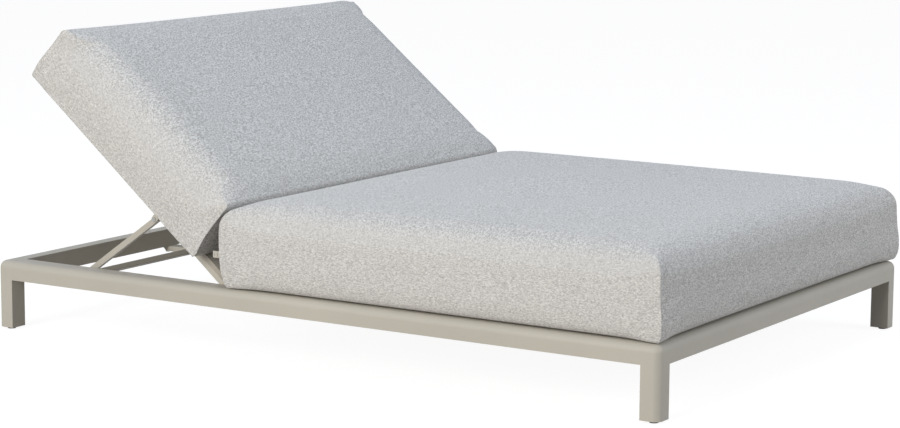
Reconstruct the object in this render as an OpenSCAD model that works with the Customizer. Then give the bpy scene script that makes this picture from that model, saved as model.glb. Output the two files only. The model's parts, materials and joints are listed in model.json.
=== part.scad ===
// Double outdoor daybed: low metal frame, slatted deck, hinged backrest on a
// folding prop, and two thick loose cushions. X runs across the bed, Y from
// the foot to the head, Z up. The origin is on the floor under the middle.

/* [Frame] */
// Length of the frame, foot to head
frame_l = 2000; // [1900:10:2100]
// Width of the frame
frame_w = 1370; // [1200:10:1400]
// Height of the rails' top face above the floor
rail_top = 186; // [176:1:230]
// Height of a rail's section
rail_h = 50; // [46:1:60]
// Width of a rail's section
rail_w = 55; // [51:1:70]
// Side of a square leg
leg_s = 50; // [44:1:51]
// Radius of the frame's outer edges and corners
edge_r = 20; // [8:1:22]
// Wall of the rails and legs
rail_wall = 2.5; // [2:0.5:4]

/* [Feet] */
// Height of a glide under its leg
glide_h = 6; // [4:0.5:10]
// Radius of a glide
glide_r = 11; // [8:0.5:16]
// Radius of a glide's stud
stud_r = 4; // [3:0.5:5]
// Length of a glide's stud
stud_l = 14; // [10:1:20]
// Height of the insert that closes a leg
insert_h = 12; // [8:1:20]

/* [Deck] */
// How far the slats stand above the rails
deck_rise = 3; // [1:0.5:8]
// Width of a slat
slat_w = 100; // [80:1:110]
// Thickness of a slat
slat_t = 14; // [10:0.5:18]
// Wall of a slat
slat_wall = 1.5; // [1:0.25:3]
// Number of slats under the seat
seat_slats = 8; // [6:1:8]
// Width of a ledge's flange
ledge_w = 25; // [20:1:35]
// Thickness of a ledge
ledge_t = 3; // [2:0.5:4]
// Width of the cross rail that carries the last seat slat
cross_w = 40; // [30:1:50]
// Wall of the cross rail, the seat beam and the tie
beam_wall = 2; // [1.5:0.25:3]
// Width of the seat beam and of the tie under the backrest
beam_w = 40; // [30:1:60]
// Height of the seat beam
beam_h = 30; // [20:1:36]
// Height of the tie under the backrest
tie_h = 15; // [10:1:20]
// How far the tie reaches under the head rail
tie_seat = 24; // [18:1:40]

/* [Backrest] */
// Angle of the backrest above the horizontal
back_angle = 39.4; // [10:0.1:50]
// Gap between the flat backrest's end and the head rail
head_gap = 6; // [4:1:12]
// Length of the backrest's side tubes from the hinge
back_l = 668; // [640:1:670]
// Width of a backrest tube
tube_w = 20; // [16:1:22]
// Thickness of a backrest tube
tube_t = 15; // [12:0.5:18]
// Wall of the backrest and prop tubes
tube_wall = 1.5; // [1:0.25:2.5]
// Gap between a side tube and its rail
side_gap = 4; // [3:0.5:6]
// Number of slats on the backrest
back_slats = 5; // [4:1:5]
// Length of the solid knuckle at a side tube's lower end
knuckle_l = 25; // [20:1:30]
// Radius of the pivot bolts and prop pins
pin_r = 4; // [3:0.25:4.5]
// Wall of a bush
bush_wall = 1.5; // [1:0.25:2]

/* [Prop] */
// Drop of the prop's pin below the side tubes' middle
prop_drop = 36.4; // [30:0.2:40]
// Thickness of a prop tube
prop_t = 15; // [12:0.5:16]
// Gap between a prop arm and its side tube, sideways
arm_gap = 2; // [1.5:0.5:3]
// Thickness of a lug
lug_t = 5; // [3:0.5:6]
// Radius of a lug's round end
lug_r = 9; // [7.5:0.5:11]
// Fall of the foot bar's path towards the head, in degrees
path_fall = 1.356; // [1:0.002:1.8]
// Radius of the sleeves on the foot bar's ends
sleeve_r = 6; // [5.25:0.25:6.5]
// Thickness of a rack
rack_t = 16; // [12:1:16]
// Gap between a rack's end and the head rail
rack_gap = 58.444693; // [40:0.000001:80]
// Depth of a rack below the tips of its teeth
rack_h = 10; // [9:0.25:10]
// Distance between two notches of a rack
notch_pitch = 26; // [20:0.5:30]

/* [Cushions] */
// How far the seat cushion's base stops short of the frame's foot end
foot_set = 6; // [5:1:20]
// Thickness of the seat cushion at its corners
seat_t = 184; // [140:1:200]
// Height of the seat cushion's crown above its corners
seat_crown = 22; // [5:1:40]
// How much longer the back cushion is than the backrest's side tubes
pillow_over = 22; // [10:1:30]
// Thickness of the back cushion at its corners
pillow_t = 184; // [140:1:190]
// Height of the back cushion's crown above its corners
pillow_crown = 14; // [5:1:30]
// Place of the back cushion's lower end, along the backrest
pillow_u = 110; // [105:1:120]
// How far the cushions' sides swell between top and bottom
side_swell = 10; // [2:1:12]
// How far the cushions' edges are drawn in between the corners
edge_pull = 5; // [2:1:10]
// How far the cushions' ends swell between top and bottom
end_swell = 5; // [2:1:6]
// How far the seat cushion swells towards the backrest
rear_swell = 20; // [4:1:20]
// Thickness of a cushion cover with its wadding
cover_t = 8; // [4:1:15]

/* [Hidden] */
// Overrun of every cut
over = 1;
// Gap between a running pin and its hole, all round
running = 0.05;
// Gap that keeps a soft or sliding piece off its neighbour
clear = 0.3;
$fn = 48;

// Levels, from the floor up
rail_bottom = rail_top - rail_h;
deck_top = rail_top + deck_rise;
slat_bottom = deck_top - slat_t;
cushion_bottom = deck_top + clear;
leg_h = rail_bottom - glide_h;

// Lengths between the frame's corners
side_l = frame_l - 2 * rail_w;
end_l = frame_w - 2 * rail_w;
inner_x = frame_w / 2 - rail_w;
inner_y = frame_l / 2 - rail_w;

// Hinge: the side tubes lie under the slats when the backrest is flat
hinge_z = slat_bottom - tube_t / 2;
cap_t = 2;
cap_depth = 5;
hinge_y = inner_y - head_gap - cap_t - back_l;
tube_out = inner_x - side_gap;
tube_in = tube_out - tube_w;
tube_x = tube_out - tube_w / 2;
back_slat_n = tube_t / 2;
pillow_n = back_slat_n + slat_t + clear;
foot_tube_u = 40;
mid_tube_share = 0.63;

// Cross rail: clear of the knuckles that turn behind it
cross_gap = 16.5;
cross_h = slat_bottom - rail_bottom;
cross_y = hinge_y - tube_t / 2 - cross_gap - cross_w / 2;
seat_start = -inner_y;
seat_end = cross_y + cross_w / 2;
seat_pitch = (seat_end - seat_start) / seat_slats;
slat_side_gap = 1;

// Prop: the pin P-Q and the arm Q-F are of one length, so the foot bar's
// centre F keeps to one straight line through the hinge P as the back turns;
// the pin's place follows from how far the foot bar reaches when the back is flat
rack_margin = 18;
reach_flat = back_l + cap_t + head_gap - rack_gap - rack_margin;
prop_u = (reach_flat / 2 - prop_drop * sin(path_fall)) / cos(path_fall);
crank = sqrt(prop_u * prop_u + prop_drop * prop_drop);
crank_lag = atan2(prop_drop, prop_u);
crank_angle = back_angle - crank_lag + path_fall;
reach_now = 2 * crank * cos(crank_angle);
back_max = 54.4;
reach_max = 2 * crank * cos(back_max - crank_lag + path_fall);
arm_angle = crank_angle + path_fall;
arm_out = tube_in - arm_gap;
arm_x = arm_out - prop_t / 2;
sleeve_gap = 1;
sleeve_end = 3;
sleeve_l = inner_x - arm_out - sleeve_gap - sleeve_end;

// Rack: tips just under the sleeves, on the rail's inner face
tip_drop = sleeve_r + clear;
rack_start = reach_max - rack_margin;
rack_end = reach_flat + rack_margin;
notches_up = floor((reach_now - rack_start - sleeve_r) / notch_pitch);
notches_down = floor((rack_end - reach_now - sleeve_r) / notch_pitch) - 1;
notch_slack = 0.6;
notch_r = sleeve_r + notch_slack;
rack_screw_r = 2.5;
rack_screw_z = tip_drop + sleeve_r;

// Screws and rivets
screw_r = 2;
screw_head_r = 4;
screw_head_h = 2;
screw_l = 9;
tie_screw_r = 3;
tie_screw_head_r = 6;
tie_screw_head_h = 3;
tie_screw_l = 22;
rivet_head_h = 0.6;
rivet_over = 3;
slat_edge_share = 0.12;

// Pivot bolt: head inside the side tube, nut inside the rail
bolt_head_r = 7;
bolt_head_h = 5;
nut_r = 7;
nut_h = 7;
spacer_r = 9;
bush_r = pin_r + running + bush_wall;
pin_head_r = 6;
pin_head_h = 2;
pin_tail = 3;
spigot_l = 15;

// Buffers under the side tubes when the backrest lies flat
buffer_l = 14;
buffer_h = 14;

// Cushion forms: corner and edge radii, points a side and a corner
plan_r = 20;
base_r = 22;
seat_edge_r = 30;
pillow_edge_r = 38;
edge_crown_share = 0.55;
inner_rings_shares = [0.25, 0.5, 0.72, 0.88];
seat_set_back = 5;
seat_front = foot_set - frame_l / 2;
seat_back = seat_end - seat_set_back;
seat_l = seat_back - seat_front;
seat_y = (seat_front + seat_back) / 2;
cushion_w = frame_w;
pillow_l = back_l + pillow_over;

// Zip's fabric tab at the seat cushion's left rear corner
tab_l = 19;
tab_h = 17;
tab_t = 2;
tab_inset = 5;
tab_sink = 5.2;
tab_level_share = 0.45;

taupe = [0.70, 0.67, 0.62];
cloth = [0.80, 0.80, 0.79];
black = [0.07, 0.07, 0.07];
steel = [0.62, 0.62, 0.63];
nylon = [0.16, 0.16, 0.16];
foam = [0.93, 0.90, 0.80];

// Draws its children on the right side, and on the left side mirrored
module both_sides() {
    children();
    mirror([1, 0, 0]) children();
}

// Draws its children once at each corner of the frame
module each_corner() {
    both_sides() {
        children();
        mirror([0, 1, 0]) children();
    }
}

// Local axes of the backrest: Y along the side tubes from the hinge
module on_back() {
    translate([0, hinge_y, hinge_z]) rotate([back_angle, 0, 0]) children();
}

// Local axes of the prop: Y along the arms from their pin
module on_prop() {
    on_back() translate([0, prop_u, -prop_drop])
        rotate([-back_angle - arm_angle, 0, 0]) children();
}

// Local axes of the foot bar's path: Y along it from the hinge
module on_path() {
    translate([0, hinge_y, hinge_z]) rotate([-path_fall, 0, 0]) children();
}

// Extrudes an outline drawn in X and Z along Y, from 0 to l
module along_y(l) {
    translate([0, l, 0]) rotate([90, 0, 0]) linear_extrude(height = l) children();
}

// Rod along X, from x to x + l
module rod(x, l, r) {
    translate([x, 0, 0]) rotate([0, 90, 0]) cylinder(h = l, r = r);
}

// Rectangle with round corners, centred
module soft_rect(w, h, r) {
    square([w - 2 * r, h], center = true);
    square([w, h - 2 * r], center = true);
    for (x = [-1, 1], y = [-1, 1])
        translate([x * (w / 2 - r), y * (h / 2 - r)]) circle(r);
}

// Tube along Y with round edges, centred on the axis, from 0 to l
module box_tube(w, h, l, t) {
    along_y(l) difference() {
        soft_rect(w, h, t);
        square([w - 2 * t, h - 2 * t], center = true);
    }
}

// Tube along X, centred at 0
module cross_tube(w, h, l, t) {
    rotate([0, 0, -90]) translate([0, -l / 2, 0]) box_tube(w, h, l, t);
}

// Section of a rail: the inner face at X 0, the round edge at the top outside
module rail_section(w, h, r) {
    square([w, h - r]);
    square([w - r, h]);
    translate([w - r, h - r]) circle(r);
}

// Hollow rail along Y, centred, its inner face towards the bed
module hollow_rail(l, inner) {
    translate([inner, -l / 2, rail_bottom]) along_y(l) difference() {
        rail_section(rail_w, rail_h, edge_r);
        translate([rail_wall, rail_wall])
            rail_section(rail_w - 2 * rail_wall, rail_h - 2 * rail_wall, edge_r - rail_wall);
    }
}

module side_rail() {
    difference() {
        hollow_rail(side_l, inner_x);
        translate([0, hinge_y, hinge_z]) rod(inner_x - over, rail_wall + 2 * over, pin_r + running);
        on_path() rack_screw_places()
            rod(inner_x - over, rail_wall + 2 * over, rack_screw_r);
    }
}

module end_rail() {
    rotate([0, 0, 90]) hollow_rail(end_l, inner_y);
}

module head_rail() {
    difference() {
        end_rail();
        translate([0, inner_y + tie_seat / 2, rail_bottom - over]) tie_screw_pair()
            cylinder(h = rail_wall + 2 * over, r = tie_screw_r);
    }
}

// Square outline with its outer corner round, the inner corner at 0
module leg_outline(s, r) {
    square([s, s - r]);
    square([s - r, s]);
    translate([s - r, s - r]) circle(r);
}

// Leg with the corner of the frame on top, at the head on the right
module leg() {
    difference() {
        union() {
            translate([inner_x, inner_y, rail_bottom])
                along_y(rail_w - edge_r) rail_section(rail_w, rail_h, edge_r);
            translate([inner_x + rail_w - edge_r, inner_y, rail_bottom]) rotate([0, 0, 90])
                along_y(rail_w - edge_r) rail_section(rail_w, rail_h, edge_r);
            translate([inner_x + rail_w - edge_r, inner_y + rail_w - edge_r, rail_bottom])
                rotate_extrude(angle = 90) {
                    square([edge_r, rail_h - edge_r]);
                    intersection() {
                        translate([0, rail_h - edge_r]) circle(edge_r);
                        translate([0, rail_h - edge_r]) square(edge_r);
                    }
                }
            translate([frame_w / 2 - leg_s, frame_l / 2 - leg_s, glide_h])
                linear_extrude(height = leg_h + over) leg_outline(leg_s, edge_r);
        }
        leg_hollow(leg_h + rail_h - edge_r - rail_wall + over, -over);
    }
}

// Inside of a leg: a column from its bottom end, h high
module leg_hollow(h, lift) {
    translate([frame_w / 2 - leg_s + rail_wall, frame_l / 2 - leg_s + rail_wall, glide_h + lift])
        linear_extrude(height = h) leg_outline(leg_s - 2 * rail_wall, edge_r - rail_wall);
}

// Centre line of the leg at the head on the right
module at_leg() {
    translate([frame_w / 2 - leg_s / 2, frame_l / 2 - leg_s / 2, 0]) children();
}

module leg_inserts() {
    each_corner() difference() {
        leg_hollow(insert_h, 0);
        at_leg() translate([0, 0, glide_h - over])
            cylinder(h = insert_h + 2 * over, r = stud_r + running);
    }
}

module glides() {
    each_corner() at_leg() {
        cylinder(h = glide_h, r = glide_r);
        cylinder(h = glide_h + stud_l, r = stud_r);
    }
}

// Angle that carries the seat slats' ends
module slat_ledge() {
    ledge_l = cross_y - cross_w / 2 - seat_start;
    difference() {
        translate([inner_x, seat_start, slat_bottom]) {
            translate([-ledge_t, 0, -ledge_w]) cube([ledge_t, ledge_l, ledge_w]);
            translate([-ledge_w, 0, -ledge_t]) cube([ledge_w, ledge_l, ledge_t]);
        }
        for (i = [1:seat_slats]) translate([0, slat_y(i), slat_bottom - ledge_t - over])
            slat_screw_places() cylinder(h = ledge_t + 2 * over, r = screw_r);
    }
}

// Middle of seat slat i
function slat_y(i) = seat_start + (i - 0.5) * seat_pitch;

// Two screws across a slat's end, on the ledge
module slat_screw_places() {
    for (y = [-1, 1])
        translate([inner_x - ledge_w / 2, y * slat_w * slat_edge_share, 0]) children();
}

module seat_slat(i) {
    translate([0, slat_y(i), slat_bottom]) difference() {
        translate([0, 0, slat_t / 2])
            cross_tube(slat_w, slat_t, 2 * (inner_x - slat_side_gap), slat_wall);
        both_sides() slat_screw_places()
            translate([0, 0, -over]) cylinder(h = slat_wall + 2 * over, r = screw_r);
    }
}

// One screw from under the ledge into each slat hole, heads below
module seat_slat_screws() {
    both_sides() for (i = [1:seat_slats])
        translate([0, slat_y(i), slat_bottom - ledge_t]) slat_screw_places() {
            cylinder(h = screw_l, r = screw_r);
            translate([0, 0, -screw_head_h]) cylinder(h = screw_head_h, r = screw_head_r);
        }
}

module cross_rail() {
    difference() {
        translate([0, cross_y, rail_bottom + cross_h / 2])
            cross_tube(cross_w, cross_h, 2 * inner_x, beam_wall);
        translate([0, cross_y, rail_bottom - over]) tie_screw_pair()
            cylinder(h = beam_wall + 2 * over, r = tie_screw_r);
    }
}

// Beam under the middle of the seat slats
module seat_beam() {
    beam_l = cross_y - cross_w / 2 - seat_start;
    translate([0, seat_start, slat_bottom - beam_h / 2])
        box_tube(beam_w, beam_h, beam_l, beam_wall);
}

// Two screws side by side across the tie
module tie_screw_pair() {
    for (x = [-1, 1]) translate([x * beam_w / 4, 0, 0]) children();
}

// Tie under the backrest, from the cross rail to the head rail, its far end cut aslant
module centre_tie() {
    tie_start = cross_y - cross_w / 2;
    tie_l = inner_y + tie_seat - tie_start;
    difference() {
        translate([0, tie_start, rail_bottom - tie_h / 2]) box_tube(beam_w, tie_h, tie_l, beam_wall);
        translate([-beam_w / 2 - over, inner_y + tie_seat, rail_bottom]) rotate([-45, 0, 0])
            translate([0, 0, -2 * tie_h]) cube([beam_w + 2 * over, 2 * tie_h, 3 * tie_h]);
        for (y = [cross_y, inner_y + tie_seat / 2])
            translate([0, y, rail_bottom - tie_h - over])
                tie_screw_pair() cylinder(h = tie_h + 2 * over, r = tie_screw_r);
    }
}

module tie_screws() {
    for (y = [cross_y, inner_y + tie_seat / 2])
        translate([0, y, rail_bottom - tie_h]) tie_screw_pair() {
            cylinder(h = tie_screw_l, r = tie_screw_r);
            translate([0, 0, -tie_screw_head_h])
                cylinder(h = tie_screw_head_h, r = tie_screw_head_r);
        }
}

// Screw places of a rack, in its teeth
module rack_screw_places() {
    for (k = [-notches_up, 0, notches_down])
        translate([0, reach_now + (k - 0.5) * notch_pitch, -rack_screw_z]) children();
}

// Notched rack on a side rail's inner face
module rack() {
    on_path() difference() {
        translate([inner_x - rack_t, rack_start, -tip_drop - rack_h])
            cube([rack_t, rack_end - rack_start, rack_h]);
        for (k = [-notches_up:notches_down])
            translate([0, reach_now + k * notch_pitch, -sleeve_r])
                rod(inner_x - rack_t - over, rack_t + 2 * over, notch_r);
        rack_screw_places() rod(inner_x - rack_t - over, rack_t + 2 * over, rack_screw_r);
    }
}

module rack_screws() {
    both_sides() on_path() rack_screw_places() {
        rod(inner_x - rack_t, rack_t + rail_wall + over, rack_screw_r);
        rod(inner_x - rack_t - screw_head_h, screw_head_h, screw_head_r);
    }
}

module at_hinge() {
    translate([0, hinge_y, hinge_z]) children();
}

module pivot_bolts() {
    both_sides() at_hinge() {
        rod(tube_in, tube_w + side_gap + rail_wall + nut_h, pin_r);
        rod(tube_in - bolt_head_h, bolt_head_h, bolt_head_r);
    }
}

module pivot_spacers() {
    both_sides() at_hinge() difference() {
        rod(tube_out + clear, side_gap - clear, spacer_r);
        rod(tube_out, side_gap + over, pin_r + running);
    }
}

module pivot_nuts() {
    both_sides() at_hinge() difference() {
        rod(inner_x + rail_wall, nut_h, nut_r);
        rod(inner_x, rail_wall + nut_h + over, pin_r + running);
    }
}

// Rubber block on the head rail, under the end of each side tube
module head_buffers() {
    both_sides() translate([tube_in, inner_y - buffer_l, hinge_z - tube_t / 2 - clear - buffer_h])
        cube([tube_w, buffer_l, buffer_h]);
}

// Side tube of the backrest, hollow, from its knuckle to its upper end
module back_tube() {
    on_back() difference() {
        translate([tube_x, knuckle_l, 0]) box_tube(tube_w, tube_t, back_l - knuckle_l, tube_wall);
        back_rivet_places() translate([0, 0, -tube_t / 2 - over])
            cylinder(h = tube_t + 2 * over, r = screw_r);
    }
}

// Solid round end of each side tube, bored for the hinge, with a spigot in the tube
module back_knuckles() {
    inside_w = tube_w - 2 * tube_wall - 2 * running;
    inside_t = tube_t - 2 * tube_wall - 2 * running;
    both_sides() on_back() difference() {
        union() {
            rod(tube_in, tube_w, tube_t / 2);
            translate([tube_in, 0, -tube_t / 2]) cube([tube_w, knuckle_l, tube_t]);
            translate([tube_x - inside_w / 2, 0, -inside_t / 2])
                cube([inside_w, knuckle_l + spigot_l, inside_t]);
        }
        rod(tube_in - over, tube_w + 2 * over, bush_r);
    }
}

module pivot_bushes() {
    both_sides() on_back() difference() {
        rod(tube_in, tube_w, bush_r);
        rod(tube_in - over, tube_w + 2 * over, pin_r + running);
    }
}

// Cross tube of the backrest, its middle at u from the hinge
module back_cross(u) {
    on_back() translate([0, u, 0]) cross_tube(tube_w, tube_t, 2 * tube_in, tube_wall);
}

// Middle of backrest slat i
back_start = knuckle_l + cap_t;
back_pitch = (back_l - slat_w - back_start) / (back_slats - 1);
function back_slat_u(i) = back_start + slat_w / 2 + (i - 1) * back_pitch;

module back_rivet_places() {
    for (i = [1:back_slats], y = [-1, 1])
        translate([tube_x, back_slat_u(i) + y * slat_w * slat_edge_share, 0]) children();
}

module back_slat(i) {
    on_back() difference() {
        translate([0, back_slat_u(i), back_slat_n + slat_t / 2])
            cross_tube(slat_w, slat_t, 2 * (tube_out - cap_t), slat_wall);
        both_sides() back_rivet_places() cylinder(h = tube_t / 2 + slat_wall + over, r = screw_r);
    }
}

// Rivets through the side tubes into the slats
module back_slat_rivets() {
    both_sides() on_back() back_rivet_places() translate([0, 0, -tube_t / 2]) {
        cylinder(h = tube_t + slat_wall + rivet_over, r = screw_r);
        translate([0, 0, -rivet_head_h]) cylinder(h = rivet_head_h, r = screw_head_r);
    }
}

// Cap in the end of a tube: a plate over the wall and a plug inside it
module end_cap(w, h, t) {
    along_y(cap_t) soft_rect(w, h, t);
    translate([0, -cap_depth, 0]) along_y(cap_depth)
        square([w - 2 * t - 2 * running, h - 2 * t - 2 * running], center = true);
}

module back_slat_caps() {
    both_sides() on_back() for (i = [1:back_slats])
        translate([tube_out - cap_t, back_slat_u(i), back_slat_n + slat_t / 2])
            rotate([0, 0, -90]) end_cap(slat_w, slat_t, slat_wall);
}

module back_tube_caps() {
    both_sides() on_back() translate([tube_x, back_l, 0]) end_cap(tube_w, tube_t, tube_wall);
}

// Round-ended plate under each side tube, bored for the prop's pin
module prop_lugs() {
    both_sides() on_back() difference() {
        union() {
            translate([0, prop_u, -prop_drop]) rod(tube_in, lug_t, lug_r);
            translate([tube_in, prop_u - lug_r, -prop_drop])
                cube([lug_t, 2 * lug_r, prop_drop - tube_t / 2]);
        }
        translate([0, prop_u, -prop_drop]) rod(tube_in - over, lug_t + 2 * over, pin_r);
    }
}

// Pins fast in the lugs, with a head outside and a clip inside the arm
module prop_pins() {
    both_sides() on_prop() {
        rod(arm_out - prop_t - pin_tail, pin_tail + prop_t + arm_gap + lug_t, pin_r);
        rod(tube_in + lug_t, pin_head_h, pin_head_r);
        rod(arm_out - prop_t - pin_tail, pin_head_h, pin_head_r);
    }
}

// Flanged bush in the end of each arm, its flange against the lug
module prop_bushes() {
    both_sides() on_prop() difference() {
        union() {
            rod(arm_out - prop_t, prop_t + arm_gap - clear, bush_r);
            rod(arm_out, arm_gap - clear, prop_t / 2);
        }
        rod(arm_out - prop_t - over, prop_t + arm_gap + 2 * over, pin_r + running);
    }
}

// Arm of the prop, a tube with round solid ends
module prop_arm() {
    on_prop() difference() {
        union() {
            for (y = [0, crank]) translate([0, y, 0]) rod(arm_out - prop_t, prop_t, prop_t / 2);
            translate([arm_out - prop_t, 0, -prop_t / 2]) cube([prop_t, crank, prop_t]);
        }
        translate([arm_x, prop_t, 0]) along_y(crank - 2 * prop_t)
            square(prop_t - 2 * tube_wall, center = true);
        rod(arm_out - prop_t - over, prop_t + 2 * over, bush_r);
        translate([0, crank, 0]) rod(arm_out - prop_t - over, prop_t + 2 * over, pin_r);
    }
}

// Foot bar between the arms, a tube with solid ends and a round pin through each arm
module prop_foot_bar() {
    on_prop() translate([0, crank, 0]) {
        cross_tube(prop_t, prop_t, 2 * (arm_out - prop_t), tube_wall);
        both_sides() {
            rod(arm_out - 2 * prop_t, 2 * prop_t + sleeve_gap + sleeve_l - cap_t, pin_r);
            translate([arm_out - 2 * prop_t, 0, 0]) rotate([0, 90, 0])
                linear_extrude(height = prop_t) square(prop_t - tube_wall, center = true);
        }
    }
}

module prop_sleeves() {
    both_sides() on_prop() translate([0, crank, 0]) difference() {
        rod(arm_out, sleeve_gap + sleeve_l, sleeve_r);
        rod(arm_out - over, over + sleeve_gap + sleeve_l - cap_t, pin_r);
    }
}

// Outline points of a soft box: four arcs of c steps joined by sides of n steps
function quarter_sign(q) = [q == 0 || q == 3 ? 1 : -1, q < 2 ? 1 : -1];
function arc_point(q, t, a, b, r) =
    [quarter_sign(q).x * (a - r), quarter_sign(q).y * (b - r)]
    + r * [cos(90 * (q + t)), sin(90 * (q + t))];
function side_point(q, t, a, b, r) =
    (1 - t) * arc_point(q, 1, a, b, r) + t * arc_point((q + 1) % 4, 0, a, b, r);
function soft_outline(a, b, r, n, c) = [
    for (q = [0:3]) each concat(
        [for (k = [0:c]) arc_point(q, k / c, a, b, r)],
        [for (k = [1:n - 1]) side_point(q, k / n, a, b, r)]
    )
];

// Rings of a cushion from the base to the top: inset, share of the plan, height
function cushion_rings(t, base, top, steps) = concat(
    [for (s = inner_rings_shares) [base, s, 0]],
    [for (k = [0:steps]) [base * (1 - sin(90 * k / steps)), 1, base * (1 - cos(90 * k / steps))]],
    [for (k = [1:3]) [0, 1, base + (t - base - top) * k / 4]],
    [for (k = [0:steps]) [top * (1 - cos(90 * k / steps)), 1, t - top * (1 - sin(90 * k / steps))]],
    [for (k = [len(inner_rings_shares) - 1:-1:0]) [top, inner_rings_shares[k], t]]
);

// Moves a point of a plain soft box to the cushion's crowned and drawn-in form
function cushion_point(p, z, a, b, t, crown, swell, pull, rear) =
    let (
        u = p.x / a,
        v = p.y / b,
        level = z / t,
        bow = 1 - pow(2 * level - 1, 4),
        free_u = 1 - pow(u, 4),
        free_v = 1 - pow(v, 4),
        lip = edge_crown_share * (free_u + free_v - free_u * free_v),
        rise = crown * (lip + (1 - edge_crown_share) * free_u * free_v),
        out_x = (swell * bow - pull) * (1 - v * v),
        out_y = (end_swell * bow - pull) * (1 - u * u)
    )
    [
        p.x + pow(u, 3) * out_x,
        p.y + pow(v, 3) * out_y + (v > 0 ? rear * bow * pow(v, 3) : 0),
        z + level * rise
    ];

// Cushion form standing on Z 0, centred: half sizes a and b, thickness t, with
// radius of the top edge, and all set in by skin for what lies inside a cover
module cushion(a, b, t, crown, rear, edge, skin, n, c, steps) {
    ha = a - skin;
    hb = b - skin;
    ht = t - 2 * skin;
    rings = cushion_rings(ht, base_r, edge, steps);
    points = [
        for (ring = rings)
            for (p = soft_outline(ha - ring[0], hb - ring[0], plan_r - ring[0] / 2, n, c))
                cushion_point(ring[1] * p, ring[2], ha, hb, ht, crown, side_swell, edge_pull, rear)
    ];
    count = 4 * (n + c);
    last = len(rings) - 1;
    poles = [
        cushion_point([0, 0], 0, ha, hb, ht, crown, side_swell, edge_pull, rear),
        cushion_point([0, 0], ht, ha, hb, ht, crown, side_swell, edge_pull, rear)
    ];
    foot = len(points);
    head = foot + 1;
    faces = concat(
        [for (i = [0:count - 1]) [foot, i, (i + 1) % count]],
        [for (j = [0:last - 1]) for (i = [0:count - 1]) each [
            [j * count + i, (j + 1) * count + i, j * count + (i + 1) % count],
            [(j + 1) * count + i, (j + 1) * count + (i + 1) % count, j * count + (i + 1) % count]
        ]],
        [for (i = [0:count - 1]) [head, last * count + (i + 1) % count, last * count + i]]
    );
    translate([0, 0, skin]) polyhedron(points = concat(points, poles), faces = faces);
}

// Cover of a cushion, hollow for its core
module cover(a, b, t, crown, rear, edge) {
    difference() {
        cushion(a, b, t, crown, rear, edge, 0, 7, 2, 3);
        cushion(a, b, t, crown, rear, edge, cover_t, 3, 1, 2);
    }
}

module core(a, b, t, crown, rear, edge) {
    cushion(a, b, t, crown, rear, edge, cover_t + clear, 3, 1, 2);
}

module on_seat() {
    translate([0, seat_y, cushion_bottom]) children();
}

module on_pillow() {
    on_back() translate([0, pillow_u + pillow_l / 2, pillow_n]) children();
}

module seat_zip_tab() {
    translate([-cushion_w / 2 + tab_inset, seat_l / 2 + rear_swell - tab_sink,
        seat_t * tab_level_share - tab_h / 2]) cube([tab_t, tab_l, tab_h]);
}

color(taupe) side_rail();  // side_rail_right
color(taupe) mirror([1, 0, 0]) side_rail();  // side_rail_left
color(taupe) head_rail();
color(taupe) rotate([0, 0, 180]) end_rail();  // foot_rail
color(taupe) leg();  // leg_head_right
color(taupe) mirror([1, 0, 0]) leg();  // leg_head_left
color(taupe) mirror([0, 1, 0]) leg();  // leg_foot_right
color(taupe) rotate([0, 0, 180]) leg();  // leg_foot_left
color(black) leg_inserts();
color(black) glides();
color(taupe) slat_ledge();  // slat_ledge_right
color(taupe) mirror([1, 0, 0]) slat_ledge();  // slat_ledge_left
color(taupe) cross_rail();
color(taupe) seat_beam();
color(taupe) centre_tie();
color(steel) tie_screws();
for (i = [1:seat_slats])
    color(taupe) seat_slat(i);
color(steel) seat_slat_screws();
color(taupe) rack();  // rack_right
color(taupe) mirror([1, 0, 0]) rack();  // rack_left
color(steel) rack_screws();
color(steel) pivot_bolts();
color(nylon) pivot_spacers();
color(steel) pivot_nuts();
color(black) head_buffers();
color(cloth) on_seat()  // seat_cover
    cover(cushion_w / 2, seat_l / 2, seat_t, seat_crown, rear_swell, seat_edge_r);
color(foam) on_seat()  // seat_core
    core(cushion_w / 2, seat_l / 2, seat_t, seat_crown, rear_swell, seat_edge_r);
color(cloth) on_seat() seat_zip_tab();
color(taupe) back_tube();  // back_tube_right
color(taupe) mirror([1, 0, 0]) back_tube();  // back_tube_left
color(taupe) back_knuckles();
color(nylon) pivot_bushes();
color(taupe) back_cross(foot_tube_u);  // back_foot_tube
color(taupe) back_cross(back_l * mid_tube_share);  // back_mid_tube
color(taupe) back_cross(back_l - tube_w / 2);  // back_head_tube
for (i = [1:back_slats])
    color(taupe) back_slat(i);
color(steel) back_slat_rivets();
color(black) back_slat_caps();
color(black) back_tube_caps();
color(taupe) prop_lugs();
color(steel) prop_pins();
color(nylon) prop_bushes();
color(taupe) prop_arm();  // prop_arm_right
color(taupe) mirror([1, 0, 0]) prop_arm();  // prop_arm_left
color(taupe) prop_foot_bar();
color(nylon) prop_sleeves();
color(cloth) on_pillow()  // back_cover
    cover(cushion_w / 2, pillow_l / 2, pillow_t, pillow_crown, 0, pillow_edge_r);
color(foam) on_pillow()  // back_core
    core(cushion_w / 2, pillow_l / 2, pillow_t, pillow_crown, 0, pillow_edge_r);
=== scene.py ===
# Looks of the double outdoor daybed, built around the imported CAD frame.
import json
import math

import bpy
import numpy as np
from mathutils import Matrix, Vector
from mathutils.kdtree import KDTree


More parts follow.
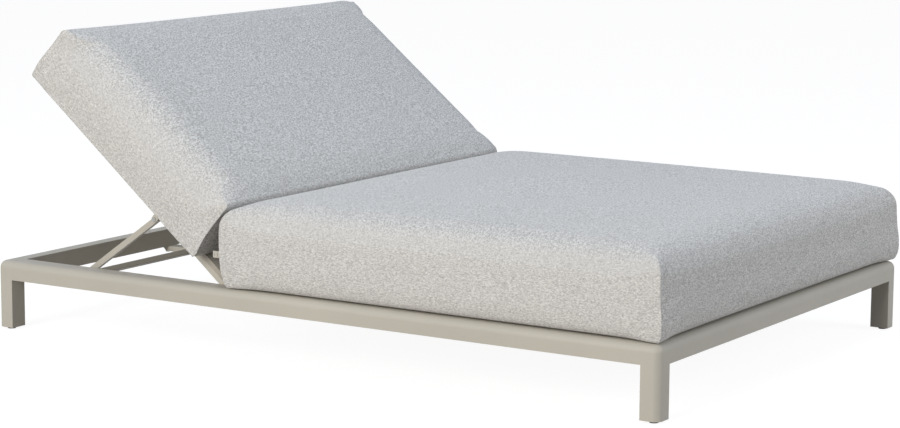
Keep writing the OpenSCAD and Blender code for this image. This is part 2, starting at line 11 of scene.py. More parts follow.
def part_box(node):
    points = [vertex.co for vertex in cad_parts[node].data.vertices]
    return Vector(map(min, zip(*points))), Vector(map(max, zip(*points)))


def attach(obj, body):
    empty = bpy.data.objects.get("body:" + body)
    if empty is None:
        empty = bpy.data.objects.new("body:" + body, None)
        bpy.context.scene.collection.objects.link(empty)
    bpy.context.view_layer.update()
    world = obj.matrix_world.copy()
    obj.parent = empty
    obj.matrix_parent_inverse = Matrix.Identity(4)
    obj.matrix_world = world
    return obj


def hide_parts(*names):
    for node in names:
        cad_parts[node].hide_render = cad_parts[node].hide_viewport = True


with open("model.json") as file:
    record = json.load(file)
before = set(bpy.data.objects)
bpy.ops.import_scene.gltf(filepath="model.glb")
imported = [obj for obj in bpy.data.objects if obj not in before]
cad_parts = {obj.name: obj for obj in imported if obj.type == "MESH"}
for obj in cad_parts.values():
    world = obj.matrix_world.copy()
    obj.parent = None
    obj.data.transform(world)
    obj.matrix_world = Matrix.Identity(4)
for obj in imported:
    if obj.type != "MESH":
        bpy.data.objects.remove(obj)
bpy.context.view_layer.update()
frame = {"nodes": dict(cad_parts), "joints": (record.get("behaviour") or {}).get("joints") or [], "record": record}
nodes = frame["nodes"]
scene = bpy.context.scene
scene.view_settings.view_transform = "Standard"


# Camera: fitted to the photograph's own edges

IMAGE_W = 900
FOCAL_PX = 2641.78
SENSOR_W = 36
CLIP_NEAR, CLIP_FAR = 0.1, 100
CAM_AT = Vector((-5.92578, -3.74251, 1.41610))
CAM_TURN, CAM_PITCH, CAM_ROLL = -1.0074127, 0.1562584, 0.0069251


def make_camera():
    """A level camera at CAM_AT, turned and pitched, then rolled about its own axis."""
    back = Vector((math.sin(CAM_TURN) * math.cos(CAM_PITCH),
                   -math.cos(CAM_TURN) * math.cos(CAM_PITCH),
                   math.sin(CAM_PITCH)))
    right = (-back).cross(Vector((0, 0, 1))).normalized()
    up = right.cross(-back)
    c, s = math.cos(CAM_ROLL), math.sin(CAM_ROLL)
    right, up = c * right + s * up, c * up - s * right
    data = bpy.data.cameras.new("camera")
    data.sensor_width = SENSOR_W
    data.lens = FOCAL_PX * SENSOR_W / IMAGE_W
    data.clip_start, data.clip_end = CLIP_NEAR, CLIP_FAR
    camera = bpy.data.objects.new("camera", data)
    scene.collection.objects.link(camera)
    camera.matrix_world = Matrix((
        (right.x, up.x, back.x, CAM_AT.x),
        (right.y, up.y, back.y, CAM_AT.y),
        (right.z, up.z, back.z, CAM_AT.z),
        (0, 0, 0, 1),
    ))
    scene.camera = camera


make_camera()


# Shader helpers

NOISE_SPAN = (0.3, 0.7)  # holds most of what a noise texture gives


def new_material(name):
    mat = bpy.data.materials.new(name)
    mat.use_nodes = True
    mat.node_tree.nodes.clear()
    return mat


class Net:
    """Short way to add and join the nodes of one tree."""

    def __init__(self, tree):
        self.tree = tree

    def add(self, kind, inputs=None, **props):
        node = self.tree.nodes.new("ShaderNode" + kind)
        for k, v in props.items():
            setattr(node, k, v)
        for k, v in (inputs or {}).items():
            if isinstance(v, bpy.types.NodeSocket):
                self.tree.links.new(v, node.inputs[k])
            else:
                node.inputs[k].default_value = v
        return node

    def math(self, op, a, b):
        return self.add("Math", {0: a, 1: b}, operation=op).outputs[0]

    def ramp(self, value, span=NOISE_SPAN, to=(0, 1)):
        return self.add("MapRange", {"Value": value, "From Min": span[0], "From Max": span[1],
                                     "To Min": to[0], "To Max": to[1]}).outputs[0]

    def mix(self, share, a, b):
        """Colour a, and colour b where share is 1."""
        return self.add("Mix", {0: share, 6: a, 7: b}, data_type="RGBA").outputs[2]

    def mix_value(self, share, a, b):
        return self.add("Mix", {0: share, 2: a, 3: b}, data_type="FLOAT").outputs[0]

    def noise(self, where, scale, detail=2.0, rough=0.5):
        return self.add("TexNoise", {"Vector": where, "Scale": scale, "Detail": detail,
                                     "Roughness": rough}).outputs["Fac"]

    def bump(self, height, strength, distance):
        return self.add("Bump", {"Strength": strength, "Distance": distance,
                                 "Height": height}).outputs[0]

    def finish(self, values):
        """Ends a material with a Principled surface."""
        surface = self.add("BsdfPrincipled", values).outputs[0]
        self.add("OutputMaterial", {"Surface": surface})


def srgb(r, g, b):
    """sRGB levels from 0 to 255 as the linear colour that a socket takes."""
    def linear(v):
        v /= 255
        return v / 12.92 if v <= 0.04045 else ((v + 0.055) / 1.055) ** 2.4
    return (linear(r), linear(g), linear(b), 1.0)


def shade(colour, factor):
    return tuple(min(1, v * factor) for v in colour[:3]) + (1,)


# Materials of the CAD nodes

def powder_coat(name, colour):
    """Matt powder coat: fine orange-peel bump, faint tone drift, pale specks, uneven gloss."""
    dark, pale = 0.94, 1.25
    mat = new_material(name)
    n = Net(mat.node_tree)
    at = n.add("TexCoord").outputs["Object"]
    peel = n.noise(at, scale=900, detail=3, rough=0.6)
    drift = n.noise(at, scale=4)
    specks = n.ramp(peel, span=(0.62, 0.72), to=(0, 0.12))
    base = n.mix(n.ramp(drift), shade(colour, dark), colour)
    n.finish({"Base Color": n.mix(specks, base, shade(colour, pale)),
              "Roughness": n.ramp(n.noise(at, scale=60), to=(0.46, 0.58)),
              "Normal": n.bump(peel, strength=0.18, distance=0.0006),
              "Specular IOR Level": 0.35})
    return mat


def plain(name, colour, rough, metal=0.0, grain=600, gloss=0.5):
    """Moulded or metal trim, foam or thread: fine grain bump, slight tone and gloss change."""
    dark, smoother, rougher = 0.8, 0.85, 1.15
    mat = new_material(name)
    n = Net(mat.node_tree)
    at = n.add("TexCoord").outputs["Object"]
    wide = n.noise(at, scale=25)
    n.finish({"Base Color": n.mix(n.ramp(wide), shade(colour, dark), colour),
              "Metallic": metal,
              "Roughness": n.ramp(wide, to=(rough * smoother, rough * rougher)),
              "Normal": n.bump(n.noise(at, scale=grain, detail=3), strength=0.1, distance=0.0004),
              "Specular IOR Level": gloss})
    return mat


def dress(name, mat):
    mesh = nodes[name].data
    mesh.materials.clear()
    mesh.materials.append(mat)


# Every node in the cushion_fabric slot is replaced below, so its own material never shows.
taupe = powder_coat("taupe_powder_coat", srgb(189, 185, 174))
BY_SLOT = {
    "frame_coat": taupe,
    "cushion_fabric": taupe,
    "black_plastic": plain("black_plastic", srgb(24, 24, 25), rough=0.6, gloss=0.2),
    "bearing_nylon": plain("grey_nylon", srgb(52, 51, 50), rough=0.45),
    "buffer_rubber": plain("black_rubber", srgb(34, 33, 33), rough=0.75),
    "fastener_steel": plain("stainless", srgb(176, 176, 174), rough=0.32, metal=1.0),
    "cushion_foam": plain("foam", srgb(226, 218, 196), rough=0.9),
}
for part in frame["record"]["subparts"]:
    dress(part["node"], BY_SLOT[part["material_slot"]])
dress("back_slat_caps", plain("taupe_plastic", srgb(172, 166, 155), rough=0.6))


# Materials of the cushions

# For the top and the Y sides, then for the X sides: the weave's scale along each axis, and the
# noise levels between which its tone goes from dark to light.
WEAVE_LIES = (
    ((0.6, 1.0, 1.35), (0.42, 0.58)),
    ((1.0, 0.55, 1.35), (0.37, 0.63)),
)


def fabric(name, light, dark):
    """Melange outdoor weave: short light and dark yarns that lie level, with a soft sheen.
    The mesh carries weave_at, the place in the cushion's own axes, and weave_side, 1 on X sides."""
    yarn_share, fleck_share = 0.62, 0.38
    yarn_rise, loop_rise = 0.7, 0.6
    grey, grey_share = (0.42, 0.42, 0.42, 1), 0.05
    mat = new_material(name)
    n = Net(mat.node_tree)
    at = n.add("Attribute", attribute_name="weave_at").outputs["Vector"]
    side = n.add("Attribute", attribute_name="weave_side").outputs["Fac"]
    tones, heights = [], []
    for stretch, tone_span in WEAVE_LIES:
        warp = n.add("Mapping", {"Vector": at, "Scale": stretch}).outputs[0]
        yarn = n.noise(warp, scale=370, detail=2.5, rough=0.62)
        fleck = n.noise(warp, scale=230)
        gaps = n.add("TexVoronoi", {"Vector": warp, "Scale": 300}).outputs["Distance"]
        loops = n.math("SUBTRACT", 1, gaps)
        tone = n.math("ADD", n.math("MULTIPLY", yarn, yarn_share),
                      n.math("MULTIPLY", fleck, fleck_share))
        tones.append(n.ramp(tone, tone_span))
        heights.append(n.math("ADD", n.math("MULTIPLY", yarn, yarn_rise),
                              n.math("MULTIPLY", loops, loop_rise)))
    base = n.mix(n.mix_value(side, *tones), dark, light)
    greyed = n.ramp(n.noise(at, scale=5), to=(0, grey_share))
    n.finish({"Base Color": n.mix(greyed, base, grey),
              "Roughness": 0.92,
              "Normal": n.bump(n.mix_value(side, *heights), strength=0.65, distance=0.0022),
              "Specular IOR Level": 0.2,
              "Sheen Weight": 0.25,
              "Sheen Roughness": 0.5})
    return mat


weave = fabric("melange_weave", srgb(230, 229, 226), srgb(172, 171, 168))
thread = plain("sewing_thread", srgb(206, 204, 198), rough=0.7, grain=1500)
webbing = plain("tab_webbing", srgb(198, 194, 184), rough=0.8, grain=1100)


# Mesh helpers

def make_object(name, verts, faces):
    """A smooth mesh object. Its faces are tuples of numbers of verts."""
    mesh = bpy.data.meshes.new(name)
    mesh.from_pydata([tuple(v) for v in verts], [], faces)
    mesh.update()
    shade_smooth(mesh)
    o = bpy.data.objects.new(name, mesh)
    scene.collection.objects.link(o)
    return o


def shade_smooth(mesh):
    mesh.polygons.foreach_set("use_smooth", [True] * len(mesh.polygons))


def points(o):
    co = np.zeros(len(o.data.vertices) * 3)
    o.data.vertices.foreach_get("co", co)
    return co.reshape(-1, 3)


def bake(o):
    """Puts the modifiers' result in the mesh."""
    mesh = bpy.data.meshes.new_from_object(o.evaluated_get(bpy.context.evaluated_depsgraph_get()))
    old, name = o.data, o.name
    o.modifiers.clear()
    o.data = mesh
    bpy.data.meshes.remove(old)
    mesh.name = name


def band(first, second, m):
    """The faces between two closed rows of m points that start at numbers first and second."""
    following = [(j + 1) % m for j in range(m)]
    return [(first + j, first + k, second + k, second + j) for j, k in enumerate(following)]


def add_weave(o, at, side):
    """Gives the mesh what the weave material reads."""
    at_store = o.data.attributes.new("weave_at", "FLOAT_VECTOR", "POINT")
    at_store.data.foreach_set("vector", np.asarray(at).ravel())
    side_store = o.data.attributes.new("weave_side", "FLOAT", "POINT")
    side_store.data.foreach_set("value", np.asarray(side))


def tubes(name, lines, radius, body, mat):
    """Closed round threads along the given lines, as one object that rides on body."""
    sides, end_taper, steep = 6, 0.55, 0.7
    verts, faces = [], []
    for line in lines:
        line = np.asarray(line)
        ahead = np.gradient(line, axis=0)
        ahead /= np.linalg.norm(ahead, axis=1, keepdims=True)
        other = np.array((0, 0, 1.0)) if abs(ahead[0][2]) < steep else np.array((1.0, 0, 0))
        first, last = len(verts), len(line) - 1
        for i, (at, d) in enumerate(zip(line, ahead)):
            across = np.cross(d, other)
            across /= np.linalg.norm(across)
            upward = np.cross(across, d)
            r = radius * (end_taper if i in (0, last) else 1.0)
            for k in range(sides):
                turn = 2 * math.pi * k / sides
                verts.append(at + r * (math.cos(turn) * across + math.sin(turn) * upward))
        for i in range(last):
            here = first + i * sides
            faces += [(p, s, r, q) for p, q, r, s in band(here, here + sides, sides)]
        faces.append(tuple(first + k for k in range(sides)))
        faces.append(tuple(first + last * sides + k for k in reversed(range(sides))))
    o = make_object(name, verts, faces)
    add_weave(o, verts, np.zeros(len(verts)))
    o.data.materials.append(mat)
    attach(o, body)


# The form of a cushion: a closed soft box with rolled edges and sewn corners

CORNERS = ((1, 1), (-1, 1), (-1, -1), (1, -1))
CORNER_R = 0.005              # radius of a sewn corner, seen from above
ARC_N = 6                     # steps round a corner
LOW_N, WALL_N, TOP_N = 7, 12, 10    # rings of the lower roll, the wall and the upper roll
CROWDING = 0.45               # how much closer the points of a side stand near its ends
DIAGONAL = 1.2                # how far a roll reaches in along a corner's diagonal, in radii
TURN_IN = 0.05                # distance from a corner within which rolls turn to its diagonal
CROWN_LEVELS = (0.4, 1.0)     # the crown grows between these levels
FLAT_SHARE = 0.75             # how much of the crown is a flat top with a bow round it
EAR_LEVELS = (0.2, 0.8)       # the corners draw in between these levels
EAR_W = 0.07                  # and over this distance along the side


def smooth(v):
    v = np.clip(v, 0, 1)
    return v * v * (3 - 2 * v)


def ease(v, low, high):
    return smooth((v - low) / (high - low))


def corner_centre(spec, sign):
    return np.array((sign[0] * (spec["a"] - CORNER_R), sign[1] * (spec["b"] - CORNER_R)))


def outline(spec):
    """The cushion's edge seen from above, anticlockwise from its +X side. Gives the places, the
    way in at each, its distance from the next corner, and whether it is on an X side."""
    spots, inward, gap, on_x = [], [], [], []
    for q, sign in enumerate(CORNERS):
        next_sign = CORNERS[(q + 1) % 4]
        ways_in = [-np.array(c) * math.sqrt(0.5) * DIAGONAL for c in (sign, next_sign)]
        for k in range(ARC_N + 1):
            turn = math.radians(90 * (q + k / ARC_N))
            out = np.array((math.cos(turn), math.sin(turn)))
            spots.append(corner_centre(spec, sign) + CORNER_R * out)
            inward.append(ways_in[0])
            gap.append(0.0)
            on_x.append((q % 2 == 0) != (k > ARC_N / 2))
        start = spots[-1]
        run = corner_centre(spec, next_sign) + CORNER_R * out - start
        for k in range(1, spec["side_n"]):
            f = k / spec["side_n"]
            f = (1 - CROWDING) * f + CROWDING * (0.5 - 0.5 * math.cos(math.pi * f))
            d = min(f, 1 - f) * np.linalg.norm(run)
            near = math.exp(-(d / TURN_IN) ** 2)
            spots.append(start + run * f)
            inward.append(-out * (1 - near) + ways_in[f >= 0.5] * near)
            gap.append(d)
            on_x.append(q % 2 == 1)
    return np.array(spots), np.array(inward), np.array(gap), np.array(on_x)


def wall_rings(spec):
    """The box's wall in its own axes: its points, how far each is on an X side for the weave, and
    their numbers, a row for each ring from the lowest to the highest."""
    spots, inward, gap, on_x = outline(spec)
    tight = np.exp(-(gap / spec["tight"]) ** 2)
    r_low = spec["low_r"] + (spec["low_c"] - spec["low_r"]) * tight
    r_top = np.where(on_x, spec["top_x"], spec["top_y"])
    r_top = r_top + (np.where(spots[:, 0] < 0, *spec["top_c"]) - r_top) * tight
    wall = spec["t"] - r_low - r_top
    rings, side = [], []

    def ring(inset, z, share):
        rings.append(np.column_stack((spots + inward * inset[:, None], z)))
        side.append(np.where(on_x, share, 0.0))

    for f in np.linspace(0, math.pi / 2, LOW_N):
        ring(r_low * (1 - math.sin(f)), r_low * (1 - math.cos(f)), 1.0)
    for f in np.linspace(0, 1, WALL_N + 2)[1:-1]:
        ring(r_low * 0, r_low + wall * f, 1.0)
    for f in np.linspace(0, math.pi / 2, TOP_N):
        ring(r_top * (1 - math.cos(f)), spec["t"] - r_top * (1 - math.sin(f)), 1 - math.sin(f))
    shell = np.arange(len(rings) * len(spots)).reshape(len(rings), len(spots))
    return np.concatenate(rings), np.concatenate(side), shell


def grid_over(q, ring, corner, upward):
    """Closes the ring of points with an even grid of quads, stretched between its four sides.
    Gives the points that it adds to q, and its faces."""
    n = len(ring)
    step = n // 4
    along = np.arange(step + 1)
    near, far = ring[(corner[2] + along) % n], ring[(corner[1] - along) % n]
    left, right = ring[(corner[2] - along) % n], ring[(corner[3] + along) % n]
    s = ((q[near, 0] - q[near[0], 0]) / (q[near[-1], 0] - q[near[0], 0]))[:, None, None]
    r = ((q[left, 1] - q[left[0], 1]) / (q[left[-1], 1] - q[left[0], 1]))[None, :, None]
    grid = ((1 - r) * q[near][:, None] + r * q[far][:, None]
            + (1 - s) * q[left][None] + s * q[right][None]
            - (1 - s) * (1 - r) * q[near[0]] - s * (1 - r) * q[near[-1]]
            - (1 - s) * r * q[far[0]] - s * r * q[far[-1]])
    number = np.zeros((step + 1, step + 1), int)
    number[:, 0], number[:, -1], number[0, :], number[-1, :] = near, far, left, right
    number[1:-1, 1:-1] = len(q) + np.arange((step - 1) ** 2).reshape(step - 1, step - 1)
    number = number.tolist()
    faces = []
    for i in range(step):
        for j in range(step):
            loop = (number[i][j], number[i + 1][j], number[i + 1][j + 1], number[i][j + 1])
            faces.append(loop if upward else loop[::-1])
    return grid[1:-1, 1:-1].reshape(-1, 3), faces


def swell(q, spec):
    """Crowns the top, tilts it, and moves each side out or in by its level."""
    a, b, crown_w = spec["a"], spec["b"], spec["crown_w"]
    u, v, level = q[:, 0] / a, q[:, 1] / b, q[:, 2] / spec["t"]
    bows = [1 - (1 - np.clip((half - np.abs(c)) / crown_w, 0, 1)) ** 2
            for half, c in ((a, q[:, 0]), (b, q[:, 1]))]
    dome = np.maximum(1 - u ** 2, 0) * np.maximum(1 - v ** 2, 0)
    crown = FLAT_SHARE * (bows[0] * bows[1]) + (1 - FLAT_SHARE) * dome
    side, foot, rear = [np.interp(level, spec["levels"], spec[k]) for k in ("side", "foot", "rear")]
    ear = np.where(u < 0, *spec["ear"]) * ease(level, *EAR_LEVELS)
    ear = ear * np.exp(-((b - np.abs(q[:, 1])) / EAR_W) ** 2)
    pull_x, pull_y = spec["pull"] * (1 - v ** 4), spec["pull"] * (1 - u ** 4)
    q[:, 0] += np.sign(u) * np.abs(u) ** 3 * (side - ear - pull_x)
    q[:, 1] += np.where(v > 0, v ** 3, 0) * (rear - pull_y)
    q[:, 1] += np.where(v < 0, v ** 3, 0) * (foot - pull_y)
    rise = spec["crown"] * crown * ease(level, *CROWN_LEVELS)
    q[:, 2] += rise + spec["tilt"] * level * (v + 1) / 2


def soft_box(spec):
    """The whole cushion in its own axes: points, faces, the weave's side shares, the wall's
    numbers by ring, and the places of the four corners in a ring."""
    q, side, shell = wall_rings(spec)
    n = shell.shape[1]
    corner = [n // 4 * c + ARC_N // 2 for c in range(4)]
    faces = []
    for i in range(len(shell) - 1):
        faces += band(i * n, (i + 1) * n, n)
    for ring, upward in ((shell[0], False), (shell[-1], True)):
        added, more_faces = grid_over(q, ring, corner, upward)
        q = np.vstack((q, added))
        faces += more_faces
    side = np.append(side, np.zeros(len(q) - len(side)))
    swell(q, spec)
    return q, faces, side, shell, corner


# Cloth simulation

VOXEL = 0.010
CLOTH_CAP = 0.003             # the most that a point may move
CLOTH_FRAMES = 20
CLOTH = {"quality": 4, "mass": 0.3, "tension_stiffness": 20, "compression_stiffness": 20,
         "bending_stiffness": 4, "use_pressure": True, "uniform_pressure_force": 0.3,
         "vertex_group_mass": "pin"}
PIN_HEIGHT = 0.025            # the cushion is held below this height, fully at its floor
PIN_STEPS = 4
NEIGHBOURS = 8                # points of the cloth that move one point of the cushion
CLOSEST = 1e-4                # keeps the weight of a very near point finite
STILL = 1e-9                  # keeps a point that doesn't move from dividing by zero


def blow_up(o, held):
    """Cloth simulation under pressure on an evenly meshed copy. Its movement, no more than the
    cap, goes back to the cushion, less what held says stays in place."""
    copy = bpy.data.objects.new(o.name + "_cloth", o.data.copy())
    scene.collection.objects.link(copy)
    m = copy.modifiers.new("remesh", "REMESH")
    m.mode, m.voxel_size = "VOXEL", VOXEL
    bake(copy)
    start = points(copy)
    weights = held(start)
    group = copy.vertex_groups.new(name="pin")
    for w in [(k + 1) / PIN_STEPS for k in range(PIN_STEPS)]:
        chosen = np.nonzero(np.abs(weights - w) < 0.5 / PIN_STEPS)[0]
        if len(chosen):
            group.add([int(i) for i in chosen], w, "REPLACE")
    m = copy.modifiers.new("cloth", "CLOTH")
    for k, v in CLOTH.items():
        setattr(m.settings, k, v)
    m.settings.effector_weights.gravity = 0
    m.point_cache.frame_start, m.point_cache.frame_end = 1, CLOTH_FRAMES
    for f in range(1, CLOTH_FRAMES + 1):
        scene.frame_set(f)
    bake(copy)
    move = points(copy) - start
    scene.frame_set(1)
    bpy.data.objects.remove(copy)
    far = np.linalg.norm(move, axis=1, keepdims=True)
    move *= CLOTH_CAP * np.tanh(far / CLOTH_CAP) / np.maximum(far, STILL)
    tree = KDTree(len(start))
    for i, v in enumerate(start):
        tree.insert(v, i)
    tree.balance()
    own = points(o)
    free = 1 - held(own)
    for i, v in enumerate(own):
        found = tree.find_n(v, NEIGHBOURS)
        w = np.array([1 / (CLOSEST + f[2]) for f in found])
        own[i] += free[i] * (move[[f[1] for f in found]] * w[:, None]).sum(0) / w.sum()
    o.data.vertices.foreach_set("co", own.ravel())
    o.data.update()


# Seams and whole cushions

CORD_R = 0.0013
THREAD_R = 0.0006
STITCH_LONG, STITCH_PITCH, STITCH_LIFT = 0.0042, 0.0065, 0.0004
STITCH_SHAPE = ((0, -0.3), (0.3, 1.0), (0.7, 1.0), (1.0, -0.3))    # shares of its length and lift
CORD_RINGS = slice(1, -1)     # the rings that a corner's cord and stitches run over
STITCH_RINGS = slice(4, -3)
STITCH_ASIDE = 5              # points of a ring from a corner to its rows of stitches
ZIP_R, ZIP_PROUD = 0.0022, 0.0006
ZIP_SPAN = slice(4, -4)       # the points of the rear side that it runs over


def stitches(line, lift):
    """Short stitches along a line, each with its middle raised by lift."""
    run = np.concatenate(([0], np.cumsum(np.linalg.norm(np.diff(line, axis=0), axis=1))))
    along, rise = np.array(STITCH_SHAPE).T
    out = []
    for start in np.arange(STITCH_PITCH, run[-1] - STITCH_PITCH, STITCH_PITCH):
        on_line = [np.interp(start + STITCH_LONG * along, run, line[:, k]) for k in range(3)]
        out.append(np.column_stack(on_line) + lift * rise[:, None])
    return out


def seams(name, own, shell, corner, body):
    """A cord down each sewn corner, with a row of stitches on either side of it."""
    middle = own.mean(0)
    cords, threads = [], []
    for c in corner:
        cords.append(own[shell[CORD_RINGS, c]])
        for aside in (-STITCH_ASIDE, STITCH_ASIDE):
            line = own[shell[STITCH_RINGS, (c + aside) % shell.shape[1]]]
            out = line.mean(0) - middle
            out = out * (np.abs(out) == np.abs(out).max())
            threads += stitches(line, STITCH_LIFT * out / np.linalg.norm(out))
    tubes(name + "_corner_cord", cords, CORD_R, body, weave)
    tubes(name + "_stitches", threads, THREAD_R, body, thread)


def rear_zip(name, own, ring, corner, body):
    """A zip along the rear face, between the two rear corners."""
    rear = ring[corner[0]:corner[1] + 1]
    line = own[rear[ZIP_SPAN]] + np.array((0, ZIP_PROUD, 0))
    tubes(name + "_zip", [line], ZIP_R, body, thread)


def cushion(name, spec, place, body, replaced):
    """One cushion at its place: form, simulation, weave axes, seams, one subdivision."""
    verts, faces, side, shell, corner = soft_box(spec)
    turn, turn_back = np.array(place), np.array(place.inverted())
    o = make_object(name, verts @ turn[:3, :3].T + turn[:3, 3], faces)

    def held(p):
        height = (p @ turn_back[:3, :3].T + turn_back[:3, 3])[:, 2]
        return np.round(PIN_STEPS * (1 - smooth(height / PIN_HEIGHT))) / PIN_STEPS

    blow_up(o, held)
    own = points(o)
    seams(name, own, shell, corner, body)
    if "zip_level" in spec:
        rear_zip(name, own, shell[int(spec["zip_level"] * len(shell))], corner, body)
    add_weave(o, verts, side)
    m = o.modifiers.new("subdivision", "SUBSURF")
    m.levels = m.render_levels = 1
    bake(o)
    shade_smooth(o.data)
    o.data.materials.append(weave)
    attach(o, body)
    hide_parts(*replaced)


# What a cushion's values say, in metres:
# a, b, t: half width, half length, thickness at the edge; side_n: points along a side
# low_r, low_c: radius of the lower roll, and at the corners
# top_x, top_y, top_c: radius of the upper roll on the X sides and the Y sides, and at the corners
# on -X and on +X; tight: how far from a corner its own radius reaches
# ear: how much the corners on -X and on +X draw in
# crown, crown_w: how far the top rises, and within which width; tilt: how much more at the rear
# pull: how much the middle of a side draws in between the corners
# side, foot, rear: how far those faces stand out at each of levels, from the floor 0 to the top 1

HALF_W = round(-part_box("side_rail_left")[0][0], 4)
DECK = round(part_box("seat_cover")[0][2], 4)
SEAT_SETBACK = 0.001          # from the frame's foot end to the cushion's
SEAT = {
    "a": HALF_W, "b": 0.624, "t": 0.195, "side_n": 96,
    "low_r": 0.024, "low_c": 0.008,
    "top_x": 0.050, "top_y": 0.046, "top_c": (0.038, 0.045), "tight": 0.06,
    "ear": (0, 0), "crown": 0.027, "crown_w": 0.13, "tilt": 0.003, "pull": 0.004,
    "levels": (0, 0.1, 0.2, 0.35, 0.5, 0.7, 0.85, 1),
    "side": (-0.003, 0, 0.002, 0.001, -0.001, -0.003, -0.005, -0.006),
    "foot": (-0.004, 0.004, 0.006, 0.004, 0, -0.002, -0.003, -0.004),
    "rear": (-0.010, -0.004, 0.002, 0.007, 0.010, 0.012, 0.010, 0.008),
    "zip_level": 0.45,
}
seat_middle = round(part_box("foot_rail")[0][1] + SEAT_SETBACK + SEAT["b"], 4)
cushion("seat_cushion", SEAT, Matrix.Translation((0, seat_middle, DECK)), "base",
        ("seat_cover", "seat_core"))

# The hinge's lower limit is the flat backrest, so at rest the backrest is raised by as much.
hinge = next(j for j in frame["joints"] if j["name"] == "backrest_hinge")
RAISED = math.radians(-hinge["range_deg"][0])
ON_BACK = Matrix.Translation(hinge["pos_m"]) @ Matrix.Rotation(RAISED, 4, "X")
PILLOW_MIDDLE, PILLOW_LIFT = 0.456, 0.0208    # from the hinge, along the backrest and off it
PILLOW = {
    "a": HALF_W, "b": 0.344, "t": 0.174, "side_n": 84,
    "low_r": 0.005, "low_c": 0.010,
    "top_x": 0.085, "top_y": 0.012, "top_c": (0.014, 0.032), "tight": 0.04,
    "ear": (0.015, 0.022), "crown": 0.023, "crown_w": 0.13, "tilt": -0.010, "pull": 0.002,
    "levels": (0, 0.1, 0.25, 0.4, 0.6, 0.8, 1),
    "side": (0, 0, 0.001, 0.001, 0, -0.001, -0.002),
    "foot": (-0.002, 0.002, -0.003, -0.008, -0.012, -0.012, -0.010),
    "rear": (-0.004, -0.003, -0.001, 0, 0.001, 0.002, 0.001),
}
cushion("back_cushion", PILLOW, ON_BACK @ Matrix.Translation((0, PILLOW_MIDDLE, PILLOW_LIFT)),
        "back_cushion", ("back_cover", "back_core"))


# The zip's fabric tab

TAB_X = -0.6795
TAB_Y = (0.2500, 0.2810)
TAB_Z = (0.2632, 0.2805)
TAB_R = 0.0019 / 2            # half of its thickness, and the radius of its fold
TAB_BEND = 0.0022             # how far its end bends in
TAB_NARROW = 0.0008           # how much shorter the fold is at the selvedges
TAB_FULL = ((0, 0.55), (0.06, 0.9), (0.12, 1.0), (0.5, 1.0),
            (0.88, 1.0), (0.94, 0.9), (1, 0.55))    # thickness by height, as shares
TAB_STITCH_X, TAB_STITCH_R = -0.6809, 0.0005
TAB_STITCH_Y = (0.2745, 0.2655)
TAB_STITCH_Z = (0.2665, 0.2777)
FOLD_N, TAB_STITCH_N = 9, 5   # points round the fold, and along a row of stitches


def fabric_tab():
    """A folded webbing loop sewn into the rear corner of the seat cushion, with rounded edges."""
    (y0, y1), (z0, z1) = TAB_Y, TAB_Z
    fold = [(y1 - TAB_R + TAB_R * math.sin(t), -TAB_R * math.cos(t))
            for t in np.linspace(0, math.pi, FOLD_N)]
    section = [(y0, -TAB_R)] + fold + [(y0, TAB_R)]
    verts, faces = [], []
    for f, full in TAB_FULL:
        for y, x in section:
            bend = TAB_BEND * ((y - y0) / (y1 - y0)) ** 2
            verts.append((TAB_X + x * full + bend, y - (1 - full) * TAB_NARROW, z0 + (z1 - z0) * f))
    m, top = len(section), len(section) * (len(TAB_FULL) - 1)
    for first in range(0, top, m):
        faces += band(first, first + m, m)
    faces.append(tuple(reversed(range(m))))
    faces.append(tuple(range(top, top + m)))
    o = make_object("seat_zip_loop", verts, faces)
    o.data.materials.append(webbing)
    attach(o, "base")
    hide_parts("seat_zip_tab")
    rows = [[(TAB_STITCH_X, y, z) for z in np.linspace(*TAB_STITCH_Z, TAB_STITCH_N)]
            for y in TAB_STITCH_Y]
    tubes("seat_zip_loop_stitches", rows, TAB_STITCH_R, "base", thread)


fabric_tab()


# Floor, backdrop and light

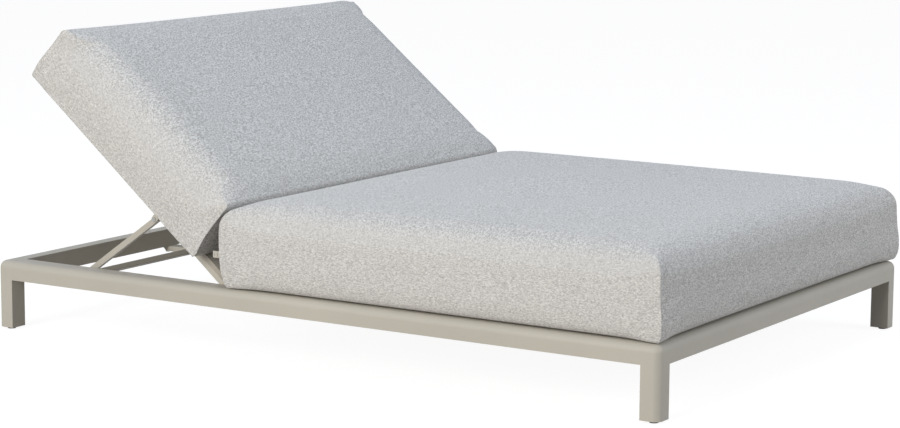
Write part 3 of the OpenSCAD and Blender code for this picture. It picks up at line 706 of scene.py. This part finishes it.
FLOOR_HALF = 30
FLOOR_GLOW, FLOOR_TONE = 0.93, 0.16    # what shows of the floor: its own white, and its shadows
FLOOR_BOUNCE = (0.45, 0.41, 0.36, 1)   # what the floor throws back on the object
AMBIENT = (0.212, 0.229, 0.274, 1)
WHITE = (1, 1, 1, 1)
LAMP_TARGET = Vector((0, 0, 0.3))
LAMPS = {    # place, diameter, colour, watts
    "key": ((-7.4, 0.2, 3.2), 4.6, (1.0, 0.963, 0.908), 448),
    "top": ((0.4, 0.6, 5.0), 4.5, (0.67, 0.82, 1.0), 66),
    "foot": ((1.6, -5.5, 2.6), 3.0, (0.97, 0.985, 1.0), 109),
}


def seen_share(n):
    """1 for rays that show the backdrop: straight, mirrored or through glass."""
    path = n.add("LightPath")
    seen = n.math("MAXIMUM", path.outputs["Is Camera Ray"], path.outputs["Is Glossy Ray"])
    return n.math("MAXIMUM", seen, path.outputs["Is Transmission Ray"])


def make_floor():
    """White where it is seen, with the object's shadow, and warm grey for the light on the object."""
    h = FLOOR_HALF
    o = make_object("floor", [(-h, -h, 0), (h, -h, 0), (h, h, 0), (-h, h, 0)], [(0, 1, 2, 3)])
    mat = new_material("floor")
    n = Net(mat.node_tree)
    matt = n.add("BsdfDiffuse", {"Color": FLOOR_BOUNCE}).outputs[0]
    shadowed = n.add("BsdfDiffuse", {"Color": (FLOOR_TONE,) * 3 + (1,)}).outputs[0]
    glow = n.add("Emission", {"Color": WHITE, "Strength": FLOOR_GLOW}).outputs[0]
    white = n.add("AddShader", {0: shadowed, 1: glow}).outputs[0]
    look = n.add("MixShader", {0: seen_share(n), 1: matt, 2: white}).outputs[0]
    n.add("OutputMaterial", {"Surface": look})
    o.data.materials.append(mat)


def make_world():
    """White where it is seen, and a dim cool sky for the light on the object."""
    world = bpy.data.worlds.new("world")
    world.use_nodes = True
    scene.world = world
    world.node_tree.nodes.clear()
    n = Net(world.node_tree)
    dim = n.add("Background", {"Color": AMBIENT, "Strength": 1}).outputs[0]
    seen = n.add("Background", {"Color": WHITE, "Strength": 1}).outputs[0]
    look = n.add("MixShader", {0: seen_share(n), 1: dim, 2: seen}).outputs[0]
    n.add("OutputWorld", {"Surface": look})


def make_lamp(name, place, size, colour, power):
    data = bpy.data.lights.new(name, "AREA")
    data.shape, data.size = "DISK", size
    data.color, data.energy = colour, power
    lamp = bpy.data.objects.new(name, data)
    scene.collection.objects.link(lamp)
    lamp.location = place
    lamp.rotation_euler = (LAMP_TARGET - Vector(place)).to_track_quat("-Z", "Y").to_euler()


make_floor()
make_world()
for lamp_name, values in LAMPS.items():
    make_lamp(lamp_name, *values)
